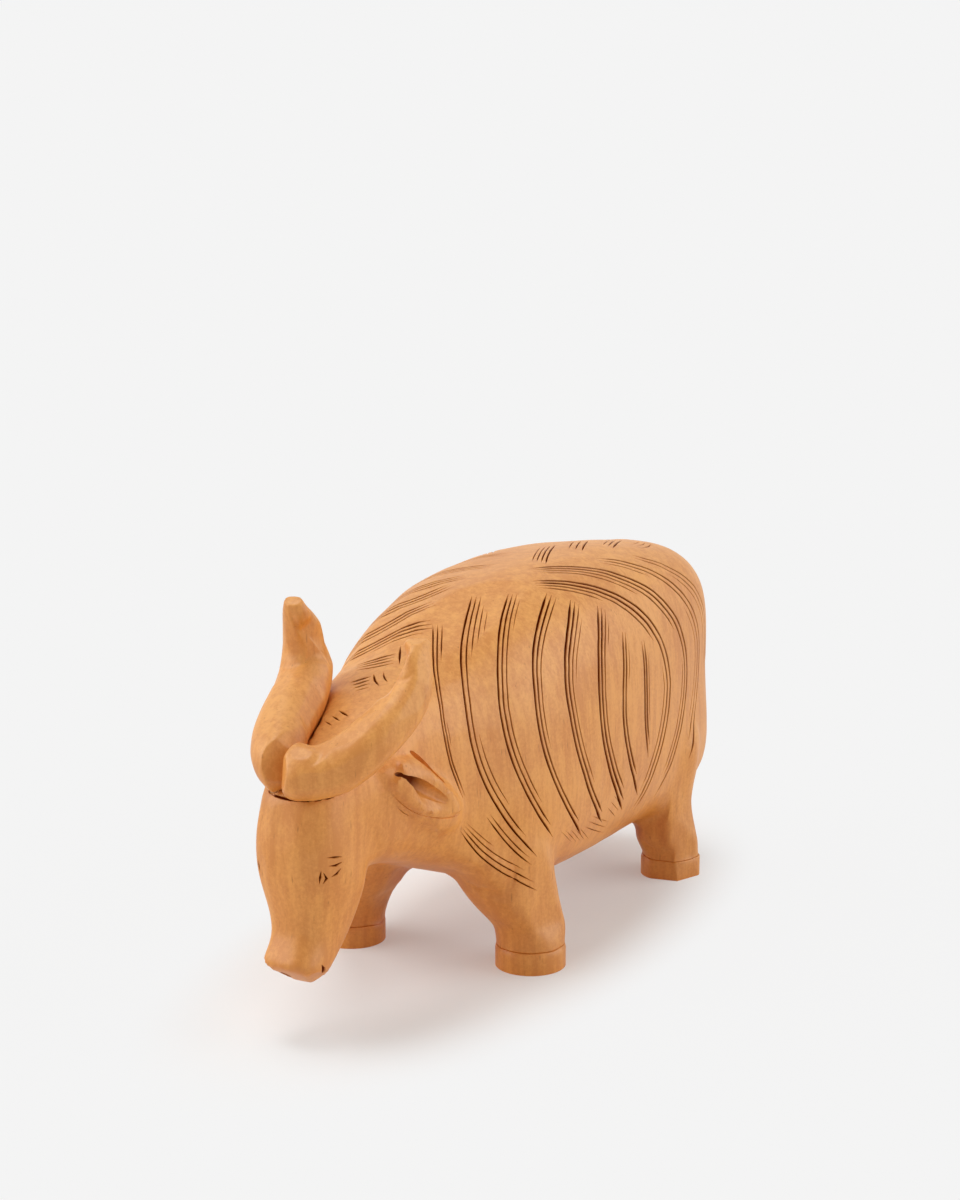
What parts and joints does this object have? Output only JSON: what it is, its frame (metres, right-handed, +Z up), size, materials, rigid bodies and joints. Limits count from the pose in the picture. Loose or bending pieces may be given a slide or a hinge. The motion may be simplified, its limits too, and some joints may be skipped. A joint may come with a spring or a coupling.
{
  "type": "carved wooden cow figurine",
  "caption": "Hand-carved wooden cow figurine, grazing with its head lowered, with groups of cut lines over its body and separately carved horns pinned to the poll.",
  "frame": {"origin": "middle of the overall length and width, on the surface that the hooves stand on", "axes": "+Z up, -Y the way the cow faces, +X to the cow's left"},
  "size_m": [0.09, 0.2458, 0.1327],
  "materials": {
    "body_wood": "satin, hand-carved",
    "horn_wood": "satin, hand-carved",
    "dowel_wood": "plain, sealed inside"
  },
  "bodies": {
    "root": {"body": "body_wood", "left_horn": "horn_wood", "right_horn": "horn_wood", "left_horn_dowel": "dowel_wood", "right_horn_dowel": "dowel_wood"}
  },
  "joints": []
}
